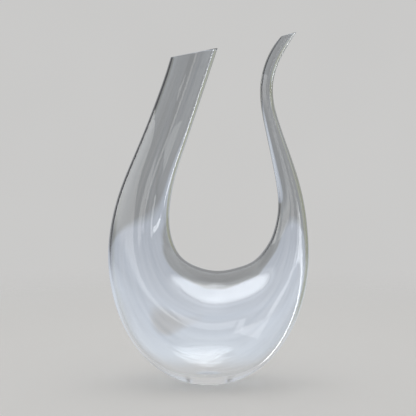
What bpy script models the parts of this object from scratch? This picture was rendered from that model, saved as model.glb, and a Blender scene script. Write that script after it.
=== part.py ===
"""Lyre-shaped wine decanter in clear blown glass.

The vessel is one tube that runs from a wide filling mouth on the left, down and round a full belly,
and up the right to a thin pouring lip. Its shape is a row of oval ribs. Each rib has an end on the
outline of the lyre, an end on the gap between its arms, and a depth across the lyre. Glass sections
are lofted between ribs, each as a closed wall with an outer and an inner surface.

Frame: +Z is up, +X points to the pouring side, Y runs across the lyre. The flat face that the
decanter stands on is at Z = 0, and the origin is below the middle of the outline.
"""

from typing import NamedTuple

import bpy
import numpy as np

MM = 0.001

# Belly outline, in mm: a full oval that is cut flat where it stands
BELLY_HALF_WIDTH = 100.0
BELLY_WIDEST_HEIGHT = 130.0
BELLY_FULLNESS = 2.05
GROUND_OFF = 1.8

# Glass, in mm: the wall, what the thick bottom adds to it, and how far that spreads
NECK_WALL = 1.8
BELLY_WALL = 2.3
FOOT_EXTRA = 3.4
FOOT_SPREAD = 38.0

# Where the sections meet, in mm: heights of the foot and the lips, and the gap that separate solids keep
FOOT_HEIGHT = 12.0
LIP_HEIGHT = 6.0
WELD_GAP = 0.3

# Mesh fineness: points round a rib, and mm between ribs along the tube
BELLY_POINTS = 36
ARM_POINTS = 28
SPOUT_POINTS = 20
BELLY_STEP = 9.5
ARM_STEP = 10.0
SPOUT_STEP = 7.5
CREASE_ANGLE = np.radians(35.0)


class Rib(NamedTuple):
    """An oval cross-section: its ends in the plane of the lyre and its depth across it, in mm."""

    outer: tuple
    inner: tuple
    depth: float


def on_belly(side, height):
    """The point of the belly's outline at a height, on the left (-1) or the right (1)."""
    drop = (BELLY_WIDEST_HEIGHT - height) / (BELLY_WIDEST_HEIGHT + GROUND_OFF)
    reach = (1 - abs(drop) ** BELLY_FULLNESS) ** (1 / BELLY_FULLNESS)
    return side * BELLY_HALF_WIDTH * reach, height


FILLING_CUT = Rib((-37.2, 325.2), (8.9, 334.2), 41.0)
FILLING_RIBS = (
    Rib((-41.0, 313.0), (1.7, 312.0), 41.0),
    Rib((-48.0, 293.0), (-9.0, 280.0), 41.0),
    Rib((-61.8, 257.0), (-21.8, 242.0), 42.5),
    Rib((-76.8, 221.5), (-33.4, 206.0), 46.5),
    Rib((-90.4, 186.0), (-38.7, 175.0), 54.5),
)
LEFT_SHOULDER = Rib((-98.4, 150.0), (-38.2, 153.0), 64.0)
BELLY_RIBS = (
    Rib(on_belly(-1, 105.0), (-31.0, 132.0), 78.0),
    Rib(on_belly(-1, 52.0), (-18.0, 120.0), 95.0),
    Rib(on_belly(-1, 13.0), (-4.0, 114.6), 105.0),
    Rib((1.0, -GROUND_OFF), (7.5, 112.8), 108.0),
    Rib(on_belly(1, 15.0), (19.0, 113.7), 104.0),
    Rib(on_belly(1, 39.0), (28.5, 116.0), 93.0),
    Rib(on_belly(1, 62.0), (37.5, 118.9), 80.0),
    Rib(on_belly(1, 87.0), (45.8, 123.6), 66.0),
    Rib(on_belly(1, 108.0), (52.4, 130.0), 55.0),
    Rib(on_belly(1, 126.0), (58.6, 138.6), 46.0),
)
RIGHT_SHOULDER = Rib((98.9, 150.0), (64.6, 151.5), 36.5)
POURING_RIBS = (
    Rib((95.4, 178.0), (69.2, 176.0), 27.5),
    Rib((89.6, 203.0), (67.4, 199.0), 22.5),
    Rib((79.6, 233.0), (61.6, 229.0), 18.0),
    Rib((71.0, 257.5), (56.2, 254.0), 14.8),
    Rib((65.0, 278.5), (52.0, 276.5), 13.0),
    Rib((63.5, 297.0), (51.1, 297.5), 12.4),
    Rib((68.4, 318.0), (56.9, 322.5), 12.4),
    Rib((77.6, 336.0), (66.0, 339.2), 12.3),
)
POURING_CUT = Rib((86.3, 350.0), (72.0, 346.0), 12.2)

RIBS = (FILLING_CUT, *FILLING_RIBS, LEFT_SHOULDER, *BELLY_RIBS, RIGHT_SHOULDER, *POURING_RIBS, POURING_CUT)

# The ribs where one section ends and the next begins
FILLING_NECK_END = RIBS.index(FILLING_RIBS[3])
LEFT_SHOULDER_END = RIBS.index(LEFT_SHOULDER)
BELLY_END = RIBS.index(RIGHT_SHOULDER)
RIGHT_SHOULDER_END = RIBS.index(POURING_RIBS[2])
POURING_WAIST = RIBS.index(POURING_RIBS[5])


def clear_scene():
    for old in list(bpy.data.objects):
        bpy.data.objects.remove(old, do_unlink=True)


def curvatures(at, values):
    """Second derivatives at the knots of the natural cubic spline through values."""
    gaps = np.diff(at)
    count = len(at)
    matrix = np.eye(count)
    slopes = np.diff(values, axis=0) / gaps[:, None]
    right = np.zeros_like(values)
    for i in range(1, count - 1):
        matrix[i, i - 1 : i + 2] = gaps[i - 1], 2 * (gaps[i - 1] + gaps[i]), gaps[i]
        right[i] = 6 * (slopes[i] - slopes[i - 1])
    return np.linalg.solve(matrix, right)


class Tube:
    """The smooth tube through RIBS, measured along its centreline in mm."""

    def __init__(self, ribs):
        self.values = np.array([[*rib.outer, *rib.inner, rib.depth] for rib in ribs])
        centres = (self.values[:, 0:2] + self.values[:, 2:4]) / 2
        steps = np.linalg.norm(np.diff(centres, axis=0), axis=1)
        self.at = np.concatenate([[0.0], np.cumsum(steps)])
        self.bend = curvatures(self.at, self.values)

    def rib(self, distance):
        """The rib at a distance along the tube."""
        i = int(np.clip(np.searchsorted(self.at, distance) - 1, 0, len(self.at) - 2))
        gap = self.at[i + 1] - self.at[i]
        b = (distance - self.at[i]) / gap
        a = 1 - b
        cubic = (a**3 - a) * self.bend[i] + (b**3 - b) * self.bend[i + 1]
        row = a * self.values[i] + b * self.values[i + 1] + cubic * gap**2 / 6
        return Rib(tuple(row[0:2]), tuple(row[2:4]), row[4])


def wall_at(rib):
    """Wall thickness of a rib at its outer end and elsewhere: thin in the necks, thick at the foot."""
    girth = float(np.clip((rib.depth - 12.0) / 60.0, 0.0, 1.0))
    wall = NECK_WALL + (BELLY_WALL - NECK_WALL) * girth
    under = 1.0 if rib.outer[1] < BELLY_WIDEST_HEIGHT else 0.0
    extra = FOOT_EXTRA * np.exp(-((rib.outer[0] / FOOT_SPREAD) ** 2)) * under
    return wall + extra, wall


def ring(rib, points, hollow):
    """Points round a rib in metres, on the outer surface or on the hollow's."""
    outer, inner = np.array(rib.outer), np.array(rib.inner)
    depth = rib.depth
    if hollow:
        outer_wall, wall = wall_at(rib)
        along = (inner - outer) / np.linalg.norm(inner - outer)
        outer = outer + along * outer_wall
        inner = inner - along * wall
        depth = depth - 2 * wall
    middle, half = (outer + inner) / 2, (outer - inner) / 2
    turns = np.linspace(0, 2 * np.pi, points, endpoint=False)
    flat = middle + np.cos(turns)[:, None] * half
    return [(x * MM, y * MM, z * MM) for (x, z), y in zip(flat, np.sin(turns) * depth / 2)]


def glass(name, tint):
    """Clear glass with a faint tint."""
    material = bpy.data.materials.new(name)
    material.use_nodes = True
    shader = material.node_tree.nodes["Principled BSDF"]
    shader.inputs["Base Color"].default_value = (*tint, 1.0)
    shader.inputs["Roughness"].default_value = 0.03
    shader.inputs["Metallic"].default_value = 0.0
    shader.inputs["IOR"].default_value = 1.5
    shader.inputs["Transmission Weight"].default_value = 1.0
    return material


def loft(name, tube, start, end, points, step):
    """A closed mesh of the glass between two distances along the tube."""
    count = max(2, round((end - start) / step) + 1)
    ribs = [tube.rib(distance) for distance in np.linspace(start, end, count)]
    rings = [ring(rib, points, hollow=False) for rib in ribs]
    rings += [ring(rib, points, hollow=True) for rib in reversed(ribs)]
    faces = []
    for i in range(len(rings)):
        here, there = i * points, (i + 1) % len(rings) * points
        for k in range(points):
            next_k = (k + 1) % points
            faces.append((here + k, here + next_k, there + next_k, there + k))
    mesh = bpy.data.meshes.new(name)
    mesh.from_pydata([point for one in rings for point in one], [], faces)
    mesh.update()
    return mesh


def add_part(name, mesh, material):
    """An object of the mesh, shaded smooth except at its cut edges."""
    mesh.shade_smooth()
    mesh.set_sharp_from_angle(angle=CREASE_ANGLE)
    mesh.materials.append(material)
    part = bpy.data.objects.new(name, mesh)
    bpy.context.scene.collection.objects.link(part)
    return part


def slab(name, low, high):
    """A cutter that covers the whole vessel between two heights in mm."""
    reach = 1.5 * BELLY_HALF_WIDTH
    square = ((-reach, -reach), (reach, -reach), (reach, reach), (-reach, reach))
    corners = [(x * MM, y * MM, z * MM) for z in (low, high) for x, y in square]
    sides = [(k, (k + 1) % 4, (k + 1) % 4 + 4, k + 4) for k in range(4)]
    mesh = bpy.data.meshes.new(name)
    mesh.from_pydata(corners, [], [(3, 2, 1, 0), (4, 5, 6, 7), *sides])
    cutter = bpy.data.objects.new(name, mesh)
    cutter.hide_render = True
    cutter.display_type = "WIRE"
    bpy.context.scene.collection.objects.link(cutter)
    return cutter


def add_sections(tube, sections, points, step):
    """Lofts each (name, start, end, tint) as its own solid, with a weld gap between neighbours."""
    for name, start, end, tint in sections:
        low = start + WELD_GAP / 2 if start > 0.0 else start
        high = end - WELD_GAP / 2 if end < tube.at[-1] else end
        mesh = loft(name, tube, low, high, points, step)
        add_part(name, mesh, glass(name, tint))


def add_filling_arm(tube):
    """The wide left arm: a polished lip, a neck and a shoulder that opens into the belly."""
    neck_end = tube.at[FILLING_NECK_END]
    sections = (
        ("filling_lip", 0.0, LIP_HEIGHT, (0.80, 0.82, 0.83)),
        ("filling_neck", LIP_HEIGHT, neck_end, (0.72, 0.74, 0.75)),
        ("filling_shoulder", neck_end, tube.at[LEFT_SHOULDER_END], (0.76, 0.78, 0.79)),
    )
    add_sections(tube, sections, ARM_POINTS, ARM_STEP)


def add_bowl(tube):
    """The full belly, and under it the thick foot that is ground flat where it stands."""
    start = tube.at[LEFT_SHOULDER_END] + WELD_GAP / 2
    end = tube.at[BELLY_END] - WELD_GAP / 2
    slabs = (
        ("belly", "DIFFERENCE", -FOOT_HEIGHT, FOOT_HEIGHT + WELD_GAP, (0.88, 0.90, 0.93)),
        ("standing_foot", "INTERSECT", 0.0, FOOT_HEIGHT, (0.92, 0.93, 0.95)),
    )
    for name, operation, low, high, tint in slabs:
        mesh = loft(name, tube, start, end, BELLY_POINTS, BELLY_STEP)
        part = add_part(name, mesh, glass(name, tint))
        boolean = part.modifiers.new("foot_cut", "BOOLEAN")
        boolean.operation = operation
        boolean.object = slab(f"{name}_slab", low, high)


def add_pouring_arm(tube):
    """The slim right arm: a tapering shoulder, a neck, a spout that flares out and a polished lip."""
    shoulder_end = tube.at[RIGHT_SHOULDER_END]
    waist = tube.at[POURING_WAIST]
    tip = tube.at[-1]
    shoulder = (("pouring_shoulder", tube.at[BELLY_END], shoulder_end, (0.74, 0.76, 0.77)),)
    sections = (
        ("pouring_neck", shoulder_end, waist, (0.70, 0.72, 0.73)),
        ("pouring_spout", waist, tip - LIP_HEIGHT, (0.70, 0.72, 0.73)),
        ("pouring_lip", tip - LIP_HEIGHT, tip, (0.80, 0.82, 0.83)),
    )
    add_sections(tube, shoulder, ARM_POINTS, ARM_STEP)
    add_sections(tube, sections, SPOUT_POINTS, SPOUT_STEP)


def main():
    clear_scene()
    tube = Tube(RIBS)
    add_filling_arm(tube)
    add_bowl(tube)
    add_pouring_arm(tube)


main()
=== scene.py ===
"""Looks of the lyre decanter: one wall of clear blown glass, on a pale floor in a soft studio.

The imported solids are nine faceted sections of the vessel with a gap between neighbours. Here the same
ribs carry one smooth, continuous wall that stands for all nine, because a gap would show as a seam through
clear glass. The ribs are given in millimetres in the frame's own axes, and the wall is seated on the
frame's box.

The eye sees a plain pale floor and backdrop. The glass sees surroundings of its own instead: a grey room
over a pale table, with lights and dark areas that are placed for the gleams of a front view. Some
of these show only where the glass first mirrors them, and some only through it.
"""

import logging
import math
from dataclasses import dataclass, field
from enum import Enum

import bpy
import numpy as np
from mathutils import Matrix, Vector


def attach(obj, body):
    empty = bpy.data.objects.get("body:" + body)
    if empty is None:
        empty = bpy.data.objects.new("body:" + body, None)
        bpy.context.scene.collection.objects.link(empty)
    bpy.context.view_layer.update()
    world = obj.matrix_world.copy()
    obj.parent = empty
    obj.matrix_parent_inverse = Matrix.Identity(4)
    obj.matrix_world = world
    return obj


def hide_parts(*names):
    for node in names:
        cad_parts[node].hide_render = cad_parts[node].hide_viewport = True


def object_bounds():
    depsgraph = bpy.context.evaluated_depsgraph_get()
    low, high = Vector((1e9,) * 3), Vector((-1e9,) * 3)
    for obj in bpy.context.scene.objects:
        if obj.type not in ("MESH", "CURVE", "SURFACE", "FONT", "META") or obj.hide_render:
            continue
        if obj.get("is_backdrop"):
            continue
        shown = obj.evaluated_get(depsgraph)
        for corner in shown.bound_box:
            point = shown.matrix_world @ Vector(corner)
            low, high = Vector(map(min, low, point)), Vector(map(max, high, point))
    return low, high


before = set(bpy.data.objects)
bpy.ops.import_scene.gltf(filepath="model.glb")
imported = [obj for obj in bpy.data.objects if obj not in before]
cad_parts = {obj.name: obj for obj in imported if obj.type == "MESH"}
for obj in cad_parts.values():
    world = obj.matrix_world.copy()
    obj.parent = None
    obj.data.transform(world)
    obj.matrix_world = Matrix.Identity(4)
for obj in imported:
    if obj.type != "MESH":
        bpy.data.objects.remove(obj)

LOG = logging.getLogger("decanter")
MM = 0.001
DRAWN = "drawn_lines"


# ---------------------------------------------------------------- finishes


class Nodes:
    """A small helper that adds linked nodes to a node tree."""

    def __init__(self, tree: bpy.types.NodeTree) -> None:
        """Starts from an empty tree.

        Args:
            tree: the tree to fill.
        """
        self.tree = tree
        tree.nodes.clear()

    def add(self, kind: str, links: dict | None = None, **settings: object) -> bpy.types.Node:
        """Adds a node.

        Args:
            kind: the node's type name, such as "ShaderNodeMath".
            links: input name or index to an output socket or a plain value.
            settings: attributes of the node, such as operation="ADD".

        Returns:
            The new node.
        """
        node = self.tree.nodes.new(kind)
        for name, value in settings.items():
            setattr(node, name, value)
        for name, value in (links or {}).items():
            if isinstance(value, bpy.types.NodeSocket):
                self.tree.links.new(value, node.inputs[name])
            else:
                node.inputs[name].default_value = value
        return node

    def maths(self, operation: str, a: object, b: object = 0.0) -> bpy.types.NodeSocket:
        """Returns the output of a Math node on two sockets or numbers."""
        return self.add("ShaderNodeMath", {0: a, 1: b}, operation=operation).outputs[0]

    def first_gleam(self) -> bpy.types.NodeSocket:
        """Returns 1 for light mirrored before any has passed into the glass, and 0 for all other light."""
        passed = self.add("ShaderNodeLightPath").outputs["Transmission Depth"]
        return self.maths("SUBTRACT", 1.0, self.maths("MINIMUM", passed, 1.0))

    def smooth_step(self, value: object, low: float, high: float) -> bpy.types.NodeSocket:
        """Returns a socket that rises smoothly from 0 at low to 1 at high."""
        links = {"Value": value, "From Min": low, "From Max": high}
        return self.add("ShaderNodeMapRange", links, interpolation_type="SMOOTHSTEP").outputs[0]


@dataclass(frozen=True)
class BlownGlass:
    """Clear glass with faint draw lines along the wall and a breath of handling marks."""

    name: str = "clear_blown_glass"
    ior: float = 1.5
    tint: tuple = (0.995, 0.998, 0.998)
    tint_line: tuple = (0.94, 0.95, 0.958)
    line_scale: float = 8.0
    line_contrast: float = 0.6
    line_range: tuple = (0.35, 0.75)
    line_height: float = 0.00003
    line_strength: float = 0.25
    mark_scale: float = 14.0
    mark_range: tuple = (0.5, 0.8)
    mark_roughness: float = 0.03
    noise_detail: float = 3.0
    shadow_tint: tuple = (0.94, 0.94, 0.94)

    def material(self) -> bpy.types.Material:
        """Builds the finish.

        Returns:
            The material.
        """
        material = bpy.data.materials.new(self.name)
        material.use_nodes = True
        nodes = Nodes(material.node_tree)
        place = nodes.add("ShaderNodeTexCoord").outputs["Object"]
        drawn = nodes.add("ShaderNodeAttribute", attribute_name=DRAWN).outputs["Vector"]
        lines = nodes.add("ShaderNodeTexNoise", {
            "Vector": drawn, "Scale": self.line_scale,
            "Detail": self.noise_detail, "Roughness": self.line_contrast,
        }).outputs["Fac"]
        cloud = nodes.add("ShaderNodeTexNoise", {
            "Vector": place, "Scale": self.mark_scale, "Detail": self.noise_detail,
        }).outputs["Fac"]
        rough = nodes.maths("MULTIPLY", nodes.smooth_step(cloud, *self.mark_range), self.mark_roughness)
        bump = nodes.add("ShaderNodeBump", {
            "Height": lines, "Strength": self.line_strength, "Distance": self.line_height,
        })
        tone = nodes.add("ShaderNodeMix", {
            "Factor": nodes.smooth_step(lines, *self.line_range),
            6: (*self.tint, 1.0), 7: (*self.tint_line, 1.0),
        }, data_type="RGBA").outputs[2]
        glass = nodes.add("ShaderNodeBsdfPrincipled", {
            "Base Color": tone, "Roughness": rough, "IOR": self.ior,
            "Transmission Weight": 1.0, "Normal": bump.outputs[0],
        })
        path = nodes.add("ShaderNodeLightPath")
        clear = nodes.add("ShaderNodeBsdfTransparent", {"Color": (*self.shadow_tint, 1.0)})
        mixed = nodes.add("ShaderNodeMixShader", {
            0: path.outputs["Is Shadow Ray"], 1: glass.outputs[0], 2: clear.outputs[0],
        })
        nodes.add("ShaderNodeOutputMaterial", {"Surface": mixed.outputs[0]})
        return material


# ---------------------------------------------------------------- vessel


@dataclass(frozen=True)
class Rib:
    """An oval cross-section: its ends in the plane of the lyre and its depth across it, in mm."""

    outer: tuple
    inner: tuple
    depth: float


class Skin(Enum):
    """The two surfaces of the wall."""

    OUTSIDE = "outside"
    HOLLOW = "hollow"


@dataclass
class Vessel:
    """The decanter's glass: one wall lofted through ribs from the filling mouth to the pouring lip."""

    belly_half_width: float = 100.0
    belly_widest_height: float = 130.0
    belly_fullness: float = 2.05
    ground_off: float = 1.8
    neck_wall: float = 1.8
    belly_wall: float = 2.3
    thin_depth: float = 12.0
    full_depth: float = 72.0
    foot_extra: float = 3.4
    foot_spread: float = 38.0
    foot_softness: float = 1.0
    points_round: int = 112
    rib_step: float = 1.6
    lip_rings: int = 9
    lip_round: float = 0.4
    draw_length: float = 0.7
    finish: BlownGlass = field(default_factory=BlownGlass)

    def on_belly(self, side: int, height: float) -> tuple:
        """Returns the point of the belly's outline at a height, on the left (-1) or the right (1)."""
        drop = (self.belly_widest_height - height) / (self.belly_widest_height + self.ground_off)
        reach = (1 - abs(drop) ** self.belly_fullness) ** (1 / self.belly_fullness)
        return side * self.belly_half_width * reach, height

    def ribs(self) -> list[Rib]:
        """Lists the ribs that set the shape, from the filling mouth to the pouring lip.

        Returns:
            The ribs, in mm.
        """
        filling = [
            Rib((-37.2, 325.2), (8.9, 334.2), 41.0),
            Rib((-41.0, 313.0), (1.7, 312.0), 41.0),
            Rib((-48.0, 293.0), (-9.0, 280.0), 41.0),
            Rib((-61.8, 257.0), (-21.8, 242.0), 42.5),
            Rib((-76.8, 221.5), (-33.4, 206.0), 46.5),
            Rib((-90.4, 186.0), (-38.7, 175.0), 54.5),
            Rib((-98.4, 150.0), (-38.2, 153.0), 64.0),
        ]
        belly = [
            Rib(self.on_belly(-1, 105.0), (-31.0, 132.0), 78.0),
            Rib(self.on_belly(-1, 52.0), (-18.0, 120.0), 95.0),
            Rib(self.on_belly(-1, 13.0), (-4.0, 114.6), 105.0),
            Rib((1.0, -self.ground_off), (7.5, 112.8), 108.0),
            Rib(self.on_belly(1, 15.0), (19.0, 113.7), 104.0),
            Rib(self.on_belly(1, 39.0), (28.5, 116.0), 93.0),
            Rib(self.on_belly(1, 62.0), (37.5, 118.9), 80.0),
            Rib(self.on_belly(1, 87.0), (45.8, 123.6), 66.0),
            Rib(self.on_belly(1, 108.0), (52.4, 130.0), 55.0),
            Rib(self.on_belly(1, 126.0), (58.6, 138.6), 46.0),
        ]
        pouring = [
            Rib((98.9, 150.0), (64.6, 151.5), 36.5),
            Rib((95.4, 178.0), (69.2, 176.0), 27.5),
            Rib((89.6, 203.0), (67.4, 199.0), 22.5),
            Rib((79.6, 233.0), (61.6, 229.0), 18.0),
            Rib((71.0, 257.5), (56.2, 254.0), 14.8),
            Rib((65.0, 278.5), (52.0, 276.5), 13.0),
            Rib((63.5, 297.0), (51.1, 297.5), 12.4),
            Rib((68.4, 318.0), (56.9, 322.5), 12.4),
            Rib((77.6, 336.0), (66.0, 339.2), 12.3),
            Rib((86.3, 350.0), (72.0, 346.0), 12.2),
        ]
        return [*filling, *belly, *pouring]

    def smooth_ribs(self) -> list[Rib]:
        """Reads evenly spaced ribs off the natural cubic spline through the ribs.

        Returns:
            The ribs, about rib_step apart.
        """
        values = np.array([[*rib.outer, *rib.inner, rib.depth] for rib in self.ribs()])
        centres = (values[:, 0:2] + values[:, 2:4]) / 2
        at = np.concatenate([[0.0], np.cumsum(np.linalg.norm(np.diff(centres, axis=0), axis=1))])
        gaps = np.diff(at)
        matrix = np.eye(len(at))
        right = np.zeros_like(values)
        slopes = np.diff(values, axis=0) / gaps[:, None]
        for i in range(1, len(at) - 1):
            matrix[i, i - 1 : i + 2] = gaps[i - 1], 2 * (gaps[i - 1] + gaps[i]), gaps[i]
            right[i] = 6 * (slopes[i] - slopes[i - 1])
        bend = np.linalg.solve(matrix, right)
        found = []
        for distance in np.linspace(0.0, at[-1], round(at[-1] / self.rib_step)):
            i = int(np.clip(np.searchsorted(at, distance) - 1, 0, len(gaps) - 1))
            b = (distance - at[i]) / gaps[i]
            a = 1 - b
            cubic = (a**3 - a) * bend[i] + (b**3 - b) * bend[i + 1]
            row = a * values[i] + b * values[i + 1] + cubic * gaps[i] ** 2 / 6
            found.append(Rib(tuple(row[0:2]), tuple(row[2:4]), float(row[4])))
        return found

    def walls(self, rib: Rib) -> tuple[float, float]:
        """Returns the wall at a rib's outer end and elsewhere in mm, thin in the arms, thick at the foot."""
        girth = (rib.depth - self.thin_depth) / (self.full_depth - self.thin_depth)
        girth = min(max(girth, 0.0), 1.0)
        wall = self.neck_wall + (self.belly_wall - self.neck_wall) * girth
        under = 1.0 if rib.outer[1] < self.belly_widest_height else 0.0
        extra = self.foot_extra * math.exp(-((rib.outer[0] / self.foot_spread) ** 2)) * under
        return wall + extra, wall

    def ring(self, rib: Rib, skin: Skin, thinned: float = 1.0) -> np.ndarray:
        """Places the points round a rib.

        Args:
            rib: the rib.
            skin: which surface of the wall.
            thinned: share of the wall between the outside and this ring, for the rounded lips.

        Returns:
            An array of points in mm.
        """
        outer, inner, depth = np.array(rib.outer), np.array(rib.inner), rib.depth
        if skin is Skin.HOLLOW:
            outer_wall, wall = (thinned * value for value in self.walls(rib))
            along = (inner - outer) / np.linalg.norm(inner - outer)
            outer = outer + along * outer_wall
            inner = inner - along * wall
            depth = depth - 2 * wall
        turns = np.linspace(0, 2 * math.pi, self.points_round, endpoint=False)
        flat = (outer + inner) / 2 + np.cos(turns)[:, None] * (outer - inner) / 2
        points = np.stack([flat[:, 0], np.sin(turns) * depth / 2, flat[:, 1]], axis=1)
        if skin is Skin.OUTSIDE:
            low = points[:, 2]
            points[:, 2] = (low + np.sqrt(low**2 + self.foot_softness**2)) / 2
        return points

    def lip(self, end: Rib, before: Rib) -> list[np.ndarray]:
        """Makes the rings that round a cut end over, from the outside to the hollow.

        Args:
            end: the last rib at this end.
            before: the rib next to it.

        Returns:
            The rings between the two surfaces.
        """
        tip, back = (np.mean([rib.outer, rib.inner], axis=0) for rib in (end, before))
        ahead = (tip - back) / np.linalg.norm(tip - back)
        rings = []
        for turn in np.linspace(0, math.pi, self.lip_rings + 2)[1:-1]:
            ring = self.ring(end, Skin.HOLLOW, thinned=(1 - math.cos(turn)) / 2)
            lift = math.sqrt(math.sin(turn)) * self.lip_round
            rings.append(ring + np.array([ahead[0], 0.0, ahead[1]]) * lift)
        return rings

    def set_back(self, end: Rib, before: Rib) -> Rib:
        """Returns the end rib moved back by the rounding of the lip, so that the lip ends at the cut."""
        tip, back = (np.mean([rib.outer, rib.inner], axis=0) for rib in (end, before))
        step = (back - tip) / np.linalg.norm(back - tip) * self.lip_round
        return Rib(tuple(end.outer + step), tuple(end.inner + step), end.depth)

    def build(self) -> bpy.types.Object:
        """Builds the wall as one closed mesh and seats it on the frame's box.

        Returns:
            The vessel's object.
        """
        ribs = self.smooth_ribs()
        ribs[0] = self.set_back(ribs[0], ribs[1])
        ribs[-1] = self.set_back(ribs[-1], ribs[-2])
        rings = [self.ring(rib, Skin.OUTSIDE) for rib in ribs]
        rings += self.lip(ribs[-1], ribs[-2])
        rings += [self.ring(rib, Skin.HOLLOW) for rib in reversed(ribs)]
        rings += list(reversed(self.lip(ribs[0], ribs[1])))
        count, around = len(rings), self.points_round
        places = np.linspace(0.0, self.draw_length, count // 2)
        grid = np.arange(count * around).reshape(count, around)
        there, beside = np.roll(grid, -1, axis=0), np.roll(grid, -1, axis=1)
        across = np.roll(there, -1, axis=1)
        faces = np.stack([grid, beside, across, there], axis=2).reshape(-1, 4)
        points = np.concatenate(rings) * MM
        low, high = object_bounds()
        points[:, 0] += (low.x + high.x) / 2 - (points[:, 0].min() + points[:, 0].max()) / 2
        points[:, 2] += low.z - points[:, 2].min()
        mesh = bpy.data.meshes.new("glass_vessel")
        mesh.from_pydata(points.tolist(), [], faces.tolist())
        mesh.update()
        turns = np.tile(np.linspace(0, 2 * math.pi, around, endpoint=False), count)
        along = np.repeat(np.concatenate([places, places[::-1]]), around)
        drawn = np.stack([np.cos(turns), np.sin(turns), along], axis=1)
        lines = mesh.attributes.new(DRAWN, "FLOAT_VECTOR", "POINT")
        lines.data.foreach_set("vector", drawn.ravel())
        mesh.shade_smooth()
        mesh.materials.append(self.finish.material())
        vessel = bpy.data.objects.new("glass_vessel", mesh)
        bpy.context.scene.collection.objects.link(vessel)
        return vessel

    def install(self) -> None:
        """Builds the vessel, rides it on the root body and lets it stand for the nine sections."""
        vessel = self.build()
        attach(vessel, "root")
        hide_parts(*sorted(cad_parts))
        LOG.info("glass_vessel: %d faces", len(vessel.data.polygons))


# ---------------------------------------------------------------- studio


@dataclass(frozen=True)
class Patch:
    """A soft round area of the surroundings, full inside one angle from its middle and gone past another.

    Angles are in degrees. Azimuth 0 is straight behind the vessel, and 90 is on its right.
    """

    azimuth: float
    elevation: float
    inner: float
    outer: float
    colour: tuple

    def centre(self) -> tuple:
        """Returns the direction of its middle."""
        a, e = math.radians(self.azimuth), math.radians(self.elevation)
        return math.sin(a) * math.cos(e), math.cos(a) * math.cos(e), math.sin(e)


@dataclass(frozen=True)
class Panel:
    """A soft-edged area of the surroundings between two azimuths and two elevations, in degrees."""

    left: float
    right: float
    low: float
    high: float
    soft: float
    colour: tuple


@dataclass(frozen=True)
class Hoop:
    """A thin arc of light round an axis, at a fixed cosine from it and between two azimuths in degrees.

    Its edge begins at faint times its half width and is full at full times it. Its ends are end_soft
    degrees wide.
    """

    axis: tuple
    cosine: float
    half_width: float
    left: float
    right: float
    colour: tuple
    faint: float = 1.3
    full: float = 0.7
    end_soft: float = 6.0


@dataclass(frozen=True)
class Lamp:
    """A flat lamp: its middle, width and height in metres, and its brightness on the surroundings' scale."""

    name: str
    place: tuple
    size: tuple
    brightness: float


@dataclass(frozen=True)
class Card(Lamp):
    """An upright lamp at one side, which shows only where the glass first mirrors it.

    It is turned about Z by turn, in degrees. Its light rises from none to full between the two shares of
    its height in fade, so a fade below 0 leaves all of it lit.
    """

    turn: float
    fade: tuple


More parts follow.
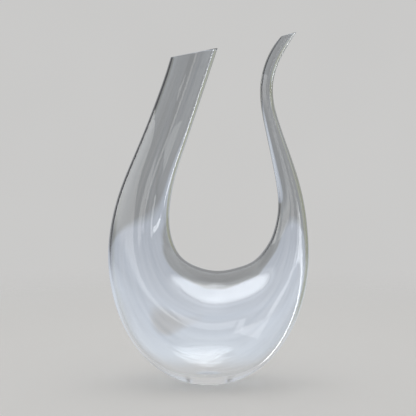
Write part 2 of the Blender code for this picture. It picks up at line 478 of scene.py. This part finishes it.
@dataclass
class Studio:
    """Floor, surroundings, lamps and camera."""

    eye_distance: float = 1.5
    eye_elevation: float = 5.0
    view_width: float = 0.4135
    sensor_width: float = 36.0
    look_at: tuple = (-0.0005, 0.0, 0.176)
    bounces: int = 96
    deepest: float = 8.0
    floor_clear: float = 0.30
    floor_reach: float = 1.0
    floor_gone: float = 0.95
    floor_sides: int = 96
    floor_tone: tuple = (0.80, 0.795, 0.785)
    backdrop: tuple = (0.590, 0.587, 0.580)
    mottle_scale: float = 9.0
    mottle_detail: float = 2.0
    mottle_range: tuple = (0.97, 1.03)
    horizon: float = -5.65
    horizon_soft: float = 0.0012
    wall: tuple = (0.27, 0.275, 0.28)
    table: tuple = (
        (-6.2, (0.45, 0.48, 0.54)),
        (-9.0, (0.61, 0.65, 0.72)),
        (-14.0, (0.66, 0.71, 0.78)),
        (-21.0, (0.595, 0.60, 0.61)),
        (-40.0, (0.585, 0.585, 0.58)),
    )
    patches: tuple = (
        Patch(-45.0, 10.0, 8.0, 26.0, (0.04, 0.04, 0.045)),
        Patch(0.0, 54.0, 10.0, 22.0, (0.18, 0.18, 0.185)),
        Patch(172.0, 78.0, 27.0, 36.0, (1.3, 1.35, 1.4)),
        Patch(172.0, 78.0, 25.6, 26.6, (0.2, 0.2, 0.2)),
        Patch(172.0, 78.0, 24.2, 25.2, (2.0, 2.05, 2.1)),
        Patch(172.0, 78.0, 14.0, 25.0, (4.6, 4.8, 5.0)),
        Patch(120.0, 69.0, 7.0, 20.0, (4.2, 4.4, 4.6)),
        Patch(0.0, 83.0, 4.0, 12.0, (4.0, 4.2, 4.4)),
        Patch(-64.0, 38.0, 8.0, 20.0, (0.10, 0.10, 0.105)),
        Patch(-1.9, -10.0, 0.4, 1.3, (0.53, 0.535, 0.55)),
    )
    panels: tuple = (
        Panel(-158.0, -95.0, -36.0, -5.0, 8.0, (0.08, 0.08, 0.085)),
        Panel(162.0, 170.0, -9.0, 14.0, 2.0, (2.6, 2.6, 2.65)),
        Panel(172.0, 190.0, 4.0, 16.0, 2.0, (2.2, 2.2, 2.25)),
        Panel(-190.0, -173.5, 4.0, 16.0, 2.0, (2.2, 2.2, 2.25)),
        Panel(126.0, 134.0, -3.0, 15.0, 2.0, (3.6, 3.65, 3.7)),
    )
    seen_through: tuple = (
        Panel(16.0, 46.0, -17.0, 6.0, 2.5, (0.33, 0.34, 0.25)),
        Panel(38.0, 120.0, 14.0, 62.0, 8.0, (0.62, 0.66, 0.72)),
        Panel(-120.0, -38.0, 14.0, 62.0, 8.0, (0.62, 0.66, 0.72)),
    )
    rim_light: Hoop = Hoop((-0.326, 0.418, 0.848), -0.343, 0.030, 30.0, 122.0, (6.4, 6.6, 6.8))
    top_box: Lamp = Lamp("top_box", (0.0, 0.05, 1.2), (0.9, 0.9), 1.05)
    cards: tuple = (
        Card("left_card", (-0.60, -3.03, 0.23), (6.96, 0.46), 2.3, -90.0, (0.34, 0.60)),
        Card("right_card", (0.60, -1.20, -0.16), (1.5, 0.40), 1.8, 90.0, (-1.0, -0.5)),
    )

    def world(self) -> None:
        """Makes a plain backdrop for the eye, and a grey room with its lights for the glass."""
        world = bpy.data.worlds.new("studio")
        bpy.context.scene.world = world
        world.use_nodes = True
        nodes = Nodes(world.node_tree)
        direction = nodes.add("ShaderNodeTexCoord").outputs["Generated"]
        room = self.room(nodes, direction)
        room = self.side_light(nodes, direction, room)
        room = self.round_patches(nodes, direction, room)
        path = nodes.add("ShaderNodeLightPath")
        mirrored, passed = path.outputs["Is Glossy Ray"], path.outputs["Is Transmission Ray"]
        glass_sees = nodes.maths("MAXIMUM", mirrored, passed)
        links = {"Factor": glass_sees, 6: self.plain_backdrop(nodes, direction), 7: room}
        shown = nodes.add("ShaderNodeMix", links, data_type="RGBA").outputs[2]
        background = nodes.add("ShaderNodeBackground", {"Color": shown, "Strength": 1.0})
        nodes.add("ShaderNodeOutputWorld", {"Surface": background.outputs[0]})

    def room(self, nodes: Nodes, direction: bpy.types.NodeSocket) -> bpy.types.NodeSocket:
        """Makes the wall and the table, which meet in a soft horizon.

        Args:
            nodes: the world's nodes.
            direction: the direction looked along.

        Returns:
            Their colour.
        """
        height = nodes.add("ShaderNodeSeparateXYZ", {0: direction}).outputs[2]
        place = nodes.add("ShaderNodeMapRange", {"Value": height, "From Min": -1.0, "From Max": 1.0})
        ramp = nodes.add("ShaderNodeValToRGB", {0: place.outputs[0]})
        edge = self.share_of(self.horizon)
        stops = [(edge + self.horizon_soft, self.wall), (edge - self.horizon_soft, self.table[0][1])]
        stops += [(self.share_of(elevation), tone) for elevation, tone in self.table]
        elements = ramp.color_ramp.elements
        ready = len(elements)
        for i, (at, tone) in enumerate(sorted(stops)):
            stop = elements[i] if i < ready else elements.new(at)
            stop.position = at
            stop.color = (*tone, 1.0)
        return ramp.outputs[0]

    def side_light(self, nodes: Nodes, direction: object, colour: object) -> bpy.types.NodeSocket:
        """Adds the panels and the arc that draws the rim line.

        Args:
            nodes: the world's nodes.
            direction: the direction looked along.
            colour: the surroundings so far.

        Returns:
            The surroundings' new colour.
        """
        split = nodes.add("ShaderNodeSeparateXYZ", {0: direction}).outputs
        turn = nodes.maths("DEGREES", nodes.maths("ARCTAN2", split[0], split[1]))
        rise = nodes.maths("DEGREES", nodes.maths("ARCSINE", split[2]))
        gleam = nodes.first_gleam()
        passed = nodes.maths("SUBTRACT", 1.0, gleam)
        for kind, panels in ((gleam, self.panels), (passed, self.seen_through)):
            for panel in panels:
                across = self.between(nodes, turn, panel.left, panel.right, panel.soft)
                upright = self.between(nodes, rise, panel.low, panel.high, panel.soft)
                share = nodes.maths("MULTIPLY", across, upright)
                colour = self.lay_over(nodes, colour, nodes.maths("MULTIPLY", share, kind), panel.colour)
        hoop = self.rim_light
        near = self.cosine_from(nodes, direction, hoop.axis)
        off = nodes.maths("ABSOLUTE", nodes.maths("SUBTRACT", near, hoop.cosine))
        line = nodes.smooth_step(off, hoop.half_width * hoop.faint, hoop.half_width * hoop.full)
        arc = nodes.maths("MULTIPLY", line, self.between(nodes, turn, hoop.left, hoop.right, hoop.end_soft))
        return self.lay_over(nodes, colour, nodes.maths("MULTIPLY", arc, gleam), hoop.colour)

    def round_patches(self, nodes: Nodes, direction: object, colour: object) -> bpy.types.NodeSocket:
        """Adds the lights overhead, the dark areas and the mark behind the belly, all of them round.

        They are left out for light that has been turned more than deepest times in the glass. The mark is
        part of the surroundings and not of the glass, so it moves across the vessel as the eye moves.

        Args:
            nodes: the world's nodes.
            direction: the direction looked along.
            colour: the surroundings so far.

        Returns:
            The surroundings' new colour.
        """
        depth = nodes.add("ShaderNodeLightPath").outputs["Ray Depth"]
        direct = nodes.smooth_step(depth, self.deepest + 1.0, self.deepest)
        for patch in self.patches:
            near = self.cosine_from(nodes, direction, patch.centre())
            gone, full = (math.cos(math.radians(angle)) for angle in (patch.outer, patch.inner))
            share = nodes.maths("MULTIPLY", nodes.smooth_step(near, gone, full), direct)
            colour = self.lay_over(nodes, colour, share, patch.colour)
        return colour

    def plain_backdrop(self, nodes: Nodes, direction: bpy.types.NodeSocket) -> bpy.types.NodeSocket:
        """Makes the slightly uneven backdrop that the eye sees.

        Args:
            nodes: the world's nodes.
            direction: the direction looked along.

        Returns:
            Its colour.
        """
        links = {"Vector": direction, "Scale": self.mottle_scale, "Detail": self.mottle_detail}
        mottle = nodes.add("ShaderNodeTexNoise", links).outputs["Fac"]
        low, high = self.mottle_range
        tone = nodes.add("ShaderNodeMapRange", {"Value": mottle, "To Min": low, "To Max": high}).outputs[0]
        return nodes.add("ShaderNodeVectorMath", {0: self.backdrop, 3: tone}, operation="SCALE").outputs[0]

    def between(
        self, nodes: Nodes, value: object, low: float, high: float, soft: float
    ) -> bpy.types.NodeSocket:
        """Returns a socket that is 1 from low to high, with edges as wide as soft."""
        rises = nodes.smooth_step(value, low - soft / 2, low + soft / 2)
        return nodes.maths("MULTIPLY", rises, nodes.smooth_step(value, high + soft / 2, high - soft / 2))

    def cosine_from(self, nodes: Nodes, direction: object, axis: tuple) -> bpy.types.NodeSocket:
        """Returns the cosine of the angle between a direction and an axis of length 1."""
        dot = nodes.add("ShaderNodeVectorMath", {0: direction, 1: axis}, operation="DOT_PRODUCT")
        return dot.outputs["Value"]

    def lay_over(self, nodes: Nodes, colour: object, share: object, new: tuple) -> bpy.types.NodeSocket:
        """Returns a colour with a share of a new one laid over it."""
        links = {"Factor": share, 6: colour, 7: (*new, 1.0)}
        return nodes.add("ShaderNodeMix", links, data_type="RGBA", clamp_result=False).outputs[2]

    def share_of(self, elevation: float) -> float:
        """Returns the place of an elevation in degrees on a ramp from straight down to straight up."""
        return (1 + math.sin(math.radians(elevation))) / 2

    def floor(self) -> None:
        """Lays a round pale floor that fades into the backdrop and that the glass doesn't see."""
        sides, reach = self.floor_sides, self.floor_reach
        bpy.ops.mesh.primitive_circle_add(vertices=sides, radius=reach, fill_type="NGON")
        floor = bpy.context.object
        floor.name = "floor"
        material = bpy.data.materials.new("pale_floor")
        material.use_nodes = True
        nodes = Nodes(material.node_tree)
        place = nodes.add("ShaderNodeTexCoord").outputs["Object"]
        away = nodes.add("ShaderNodeVectorMath", {0: place}, operation="LENGTH").outputs["Value"]
        fade = nodes.smooth_step(away, self.floor_clear, self.floor_reach * self.floor_gone)
        matt = nodes.add("ShaderNodeBsdfDiffuse", {"Color": (*self.floor_tone, 1.0)})
        gone = nodes.add("ShaderNodeBsdfTransparent")
        mixed = nodes.add("ShaderNodeMixShader", {0: fade, 1: matt.outputs[0], 2: gone.outputs[0]})
        nodes.add("ShaderNodeOutputMaterial", {"Surface": mixed.outputs[0]})
        floor.data.materials.append(material)
        floor.visible_glossy = False
        floor.visible_transmission = False
        floor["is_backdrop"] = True

    def hang(self, lamp: Lamp) -> bpy.types.Object:
        """Makes a lamp that faces the middle of the decanter and that the eye doesn't see.

        Args:
            lamp: its name, place, size and brightness.

        Returns:
            The lamp's object.
        """
        width, height = lamp.size
        data = bpy.data.lights.new(lamp.name, "AREA")
        data.shape = "RECTANGLE"
        data.size = width
        data.size_y = height
        data.energy = lamp.brightness * math.pi * width * height
        hung = bpy.data.objects.new(lamp.name, data)
        bpy.context.scene.collection.objects.link(hung)
        hung.location = lamp.place
        facing = Vector(self.look_at) - Vector(lamp.place)
        hung.rotation_euler = facing.to_track_quat("-Z", "Y").to_euler()
        hung.visible_camera = False
        return hung

    def stand_card(self, card: Card) -> None:
        """Stands a card upright beside the vessel and lets only the glass's first mirroring show it."""
        stood = self.hang(card)
        stood.rotation_euler = (math.radians(90), 0.0, math.radians(card.turn))
        stood.visible_diffuse = False
        stood.data.use_nodes = True
        nodes = Nodes(stood.data.node_tree)
        across = nodes.add("ShaderNodeNewGeometry").outputs["Parametric"]
        height = nodes.add("ShaderNodeSeparateXYZ", {0: across}).outputs[1]
        strength = nodes.maths("MULTIPLY", nodes.first_gleam(), nodes.smooth_step(height, *card.fade))
        light = nodes.add("ShaderNodeEmission", {"Strength": strength})
        nodes.add("ShaderNodeOutputLight", {"Surface": light.outputs[0]})

    def lamps(self) -> None:
        """Hangs a soft box above for the floor, and stands a card on either side for the glass."""
        top = self.hang(self.top_box)
        top.visible_glossy = False
        top.visible_transmission = False
        for card in self.cards:
            self.stand_card(card)

    def camera(self) -> None:
        """Sets the eye in front of the vessel, looking a few degrees down at it."""
        data = bpy.data.cameras.new("eye")
        data.sensor_width = self.sensor_width
        data.lens = self.sensor_width * self.eye_distance / self.view_width
        eye = bpy.data.objects.new("eye", data)
        bpy.context.scene.collection.objects.link(eye)
        e = math.radians(self.eye_elevation)
        back = Vector((0.0, -math.cos(e), math.sin(e)))
        eye.location = Vector(self.look_at) + back * self.eye_distance
        eye.rotation_euler = (-back).to_track_quat("-Z", "Y").to_euler()
        bpy.context.scene.camera = eye

    def install(self) -> None:
        """Builds the whole studio and keeps colours as they are lit."""
        self.world()
        self.floor()
        self.lamps()
        self.camera()
        scene = bpy.context.scene
        scene.view_settings.view_transform = "Standard"
        scene.cycles.max_bounces = self.bounces
        scene.cycles.transmission_bounces = self.bounces
        scene.cycles.glossy_bounces = self.bounces
        scene.cycles.transparent_max_bounces = self.bounces
        LOG.info("studio: ready")


def main() -> None:
    """Builds the decanter and the studio."""
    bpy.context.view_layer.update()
    Vessel().install()
    Studio().install()


if __name__ == "__main__":
    logging.basicConfig(level=logging.INFO)
    main()
